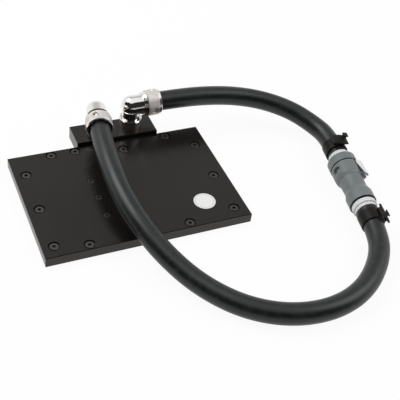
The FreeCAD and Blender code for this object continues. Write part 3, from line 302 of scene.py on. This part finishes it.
routes = {
    "short_hose": [
        right_start,
        right_start + Vector((24 * mm, 0, 0)),
        Vector((0.092, 0.068, 0.0295)),
        Vector((0.118, 0.0655, 0.0265)),
        Vector((0.1425, 0.0585, 0.0225)),
        Vector((0.164, 0.0445, 0.018)),
        Vector((0.1772, 0.0252, 0.014)),
        coupling_back - coupling_line * 25.5 * mm,
        coupling_back,
    ],
    "long_hose": [
        left_start,
        left_centre + left_away * 44 * mm,
        Vector((-0.0154, -0.0195, 0.027)),
        Vector((-0.0115, -0.052, 0.0217)),
        Vector((-0.0015, -0.081, 0.0138)),
        Vector((0.014, -0.1105, floor_line)),
        Vector((0.0355, -0.138, floor_line)),
        Vector((0.064, -0.154, floor_line)),
        Vector((0.096, -0.1575, floor_line)),
        Vector((0.126, -0.148, floor_line)),
        Vector((0.151, -0.1265, floor_line)),
        coupling_front + coupling_line * 24 * mm,
        coupling_front,
    ],
}
for name, points in routes.items():
    curve = bpy.data.curves.new(f"{name}_rubber", "CURVE")
    curve.dimensions = "3D"
    spline = curve.splines.new("NURBS")
    spline.points.add(len(points) - 1)
    for point, place in zip(spline.points, points):
        point.co = (*place, 1)
    spline.order_u = 3
    spline.use_endpoint_u = True
    spline.resolution_u = 24
    curve.bevel_depth = hose_radius
    curve.bevel_resolution = 14
    curve.use_fill_caps = False
    curve.materials.append(hose_rubber.material)
    hose = bpy.data.objects.new(f"{name}_rubber", curve)
    bpy.context.scene.collection.objects.link(hose)
    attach(hose, "plate_and_loop")
    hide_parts(name)

# ---------------------------------------------------------------------------------------------------------------
# Quick-disconnect coupling between the hoses: socket, plug and valves moulded in grey acetal. The groove between
# back ring and shell is painted black, a painted shadow in the gap, and the plug is coloured black from 50.3 mm
# along the coupling on. Barbed ends of white acetal are screwed into both.
# ---------------------------------------------------------------------------------------------------------------
coupling_end = (0.1768, -0.0241, 0.0121944)
coupling_axis = (-0.17102, -0.98499, -0.02342)
joint_start, joint_end = 8.2 * mm, 9.0 * mm
lip_start = 50.3 * mm


def reach(finish, direction):
    """How far a point lies from the coupling's back end in a direction."""
    return finish.node("ShaderNodeVectorMath", {0: finish.place(move=coupling_end), 1: direction}, output="Value",
                       operation="DOT_PRODUCT")


grey_acetal = Finish("grey_acetal", specular_ior_level=0.45)
flow = grey_acetal.noise(grey_acetal.place(), 70.0)
fine = grey_acetal.noise(grey_acetal.place(), 2200.0)
down_line = reach(grey_acetal, coupling_axis)
# Painted black: the groove between back ring and shell, a painted shadow, and the plug's end past lip_start.
black = ((down_line > joint_start) * (down_line < joint_end)).most(down_line > lip_start)
plain_grey = grey_acetal.between((0.138, 0.158, 0.158), (0.188, 0.211, 0.211), flow)
grey_acetal.set("Base Color", grey_acetal.between(plain_grey, (0.006, 0.006, 0.006), black))
grey_acetal.set("Roughness", 0.4 + fine * 0.12)
grey_acetal.dent(fine, distance=0.01 * mm, strength=0.5)
grey_acetal.paint("back_ring", "socket_shell", "plug", "socket_valve", "plug_valve")

white_acetal = Finish("white_acetal", specular_ior_level=0.5)
milk = white_acetal.noise(white_acetal.place(), 90.0)
white_acetal.set("Base Color", white_acetal.between((0.7, 0.71, 0.7), (0.78, 0.79, 0.78), milk))
white_acetal.set("Roughness", 0.36 + milk * 0.1)
white_acetal.paint("back_barb", "front_barb")

# ---------------------------------------------------------------------------------------------------------------
# Latch of the coupling: a ring with a thumb pad, moulded in white plastic, which slides into the socket against
# its spring. The pad's side and its tip are painted grey, a painted shade below the pad's white top.
# ---------------------------------------------------------------------------------------------------------------
pad_outward = (0.428308, -0.095731, 0.898548)
pad_foot, pad_face = 10.4 * mm, 12.45 * mm
pad_tip = 24.3 * mm
pad_painted_shade = (0.15, 0.172, 0.172)

latch_plastic = Finish("latch_plastic", specular_ior_level=0.55, roughness=0.28)
speck = latch_plastic.noise(latch_plastic.place(), 500.0)
rise = reach(latch_plastic, pad_outward)
on_pad = rise > pad_foot
# Painted grey on the pad's side and tip: a painted shade.
grey = (on_pad * (rise < pad_face)).most(on_pad * (reach(latch_plastic, coupling_axis) > pad_tip))
plain_white = latch_plastic.between((0.74, 0.75, 0.74), (0.82, 0.83, 0.82), speck)
latch_plastic.set("Base Color", latch_plastic.between(plain_white, pad_painted_shade, grey))
latch_plastic.paint("release_latch")

# ---------------------------------------------------------------------------------------------------------------
# Ratchet clamps: bands of black nylon with a toothed jaw and a hook, squeezed shut over the hose ends on the
# coupling's barbs.
# ---------------------------------------------------------------------------------------------------------------
black_nylon = Finish("black_nylon", specular_ior_level=0.16, specular_tint=(1.0, 0.96, 0.9))
flecks = black_nylon.noise(black_nylon.place(), 1500.0)
black_nylon.set("Base Color", black_nylon.between((0.001, 0.001, 0.0009), (0.013, 0.0122, 0.011), flecks))
black_nylon.set("Roughness", 0.32 + flecks * 0.16)
black_nylon.dent(flecks, distance=0.02 * mm, strength=0.5)
black_nylon.paint("short_hose_clamp", "long_hose_clamp")

# ---------------------------------------------------------------------------------------------------------------
# Studio floor: a sheet of white paper that keeps the object's shadow. Rays that come straight from the eye, and
# those that shiny or clear faces send on, see it almost as bright as pure white.
# ---------------------------------------------------------------------------------------------------------------
white = (1, 1, 1)
paper_glow = 0.93
bpy.ops.object.select_all(action="DESELECT")
bpy.ops.mesh.primitive_circle_add(vertices=96, radius=4.0, fill_type="NGON", location=(0.05, -0.05, 0))
floor = bpy.context.object
floor.name = "studio_floor"


def ray_kinds(shading):
    """Whether a ray comes from the eye, from a shiny face, or through a clear one."""
    return [shading.node("ShaderNodeLightPath", {}, output=kind)
            for kind in ("Is Camera Ray", "Is Glossy Ray", "Is Transmission Ray")]


paper = Finish("studio_paper", base_color=(0.96, 0.96, 0.96), roughness=0.9, specular_ior_level=0.0)
to_eye, in_gloss, through = ray_kinds(paper)
glow = paper.node("ShaderNodeEmission", {"Color": white, "Strength": 1.0})
sheet = Wire(paper, paper.shader.outputs["BSDF"])
mixed = paper.node("ShaderNodeMixShader", {0: (to_eye + in_gloss + through) * paper_glow, 1: sheet, 2: glow})
paper.feed(paper.tree.nodes["Material Output"].inputs["Surface"], mixed)
floor.data.materials.append(paper.material)

# ---------------------------------------------------------------------------------------------------------------
# Studio room: white to the eye. Shiny faces see a white ceiling, pale walls that turn grey higher up, and a dark
# wall in front. All else gets a plain grey light. Two soft round lamps hang behind the object and to its right.
# ---------------------------------------------------------------------------------------------------------------
pale_wall, grey_wall, dark_wall = 0.95, 0.6, 0.025
wall_east, wall_north = -0.485, -0.874
plain_light = 0.42
world = bpy.data.worlds.new("studio")
bpy.context.scene.world = world
world.use_nodes = True
room = Shading(world.node_tree)
to_eye, in_gloss, through = ray_kinds(room)
east, north, upward = room.split(room.node("ShaderNodeTexCoord", {}, output="Generated"))
front = (east * wall_east + north * wall_north).ramp(-0.02, 0.14)
walls = upward.ramp(0.3, 0.62, pale_wall, grey_wall) * (1 - front) + front * dark_wall
ceiling = upward.ramp(0.83, 0.86)
in_mirror = walls * (1 - ceiling) + ceiling
all_else = (1 - (to_eye + in_gloss + through)).most(0.0)
background = world.node_tree.nodes["Background"]
room.feed(background.inputs["Color"], white)
room.feed(background.inputs["Strength"], to_eye.most(through) + in_gloss * in_mirror + all_else * plain_light)

lamp_aim = Vector((0.05, -0.02, 0))
for name, place, size, power in (
    ("key_light", Vector((-0.5, 0.55, 1.1)), 0.9, 9),
    ("fill_light", Vector((0.9, -0.3, 0.9)), 0.8, 4),
):
    lamp = bpy.data.lights.new(name, "AREA")
    lamp.shape = "DISK"
    lamp.size = size
    lamp.energy = power
    light = bpy.data.objects.new(name, lamp)
    light.location = place
    light.rotation_euler = (lamp_aim - place).to_track_quat("-Z", "Y").to_euler()
    bpy.context.scene.collection.objects.link(light)

# ---------------------------------------------------------------------------------------------------------------
# Camera: a long lens that looks down on the object from its front left.
# ---------------------------------------------------------------------------------------------------------------
camera_place = (-0.1748, -0.4306, 0.42705)
lens = bpy.data.cameras.new("camera")
lens.lens = 72.92
lens.sensor_width = 36
camera = bpy.data.objects.new("camera", lens)
forward = Vector((0.3581, 0.6452, -0.6749)).normalized()
up = Vector((0.9141, -0.3897, 0.1125)).cross(forward).normalized()
right = forward.cross(up).normalized()
camera.matrix_world = Matrix.Translation(camera_place) @ Matrix((right, up, -forward)).transposed().to_4x4()
bpy.context.scene.collection.objects.link(camera)
bpy.context.scene.camera = camera
bpy.context.scene.view_settings.view_transform = "Standard"
